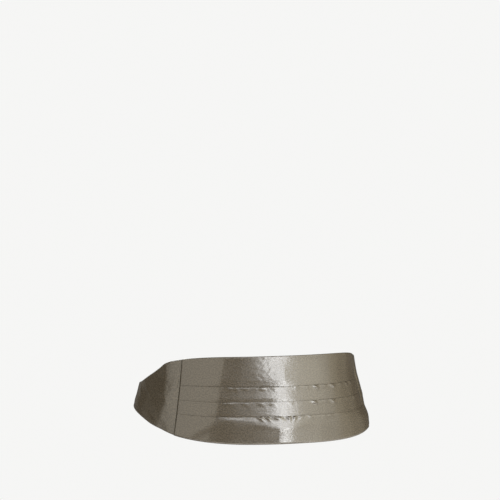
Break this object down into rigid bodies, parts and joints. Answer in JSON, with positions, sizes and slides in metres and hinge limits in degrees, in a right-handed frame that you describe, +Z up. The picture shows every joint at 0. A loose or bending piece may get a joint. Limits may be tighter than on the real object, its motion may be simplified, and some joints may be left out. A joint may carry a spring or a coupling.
{
  "type": "cummerbund",
  "caption": "Pleated satin waist sash with a tall folded front panel, tapered side wings and narrow straps that meet in a plain clasp at the back.",
  "frame": {"origin": "centre of the waist that the band goes round, near the middle of its height", "axes": "+Z up as worn, -Y towards the wearer's front, +X towards the wearer's left"},
  "size_m": [0.357, 0.2462, 0.122],
  "materials": {
    "satin": "champagne grey satin with a soft, narrow sheen and a fine weave",
    "webbing": "matt ribbed webbing in the satin's colour",
    "clasp_metal": "plain brushed metal"
  },
  "bodies": {
    "root": {"front_panel": "satin", "wing_right": "satin", "wing_left": "satin", "strap_right": "webbing", "strap_left": "webbing", "clasp": "clasp_metal"}
  },
  "joints": []
}
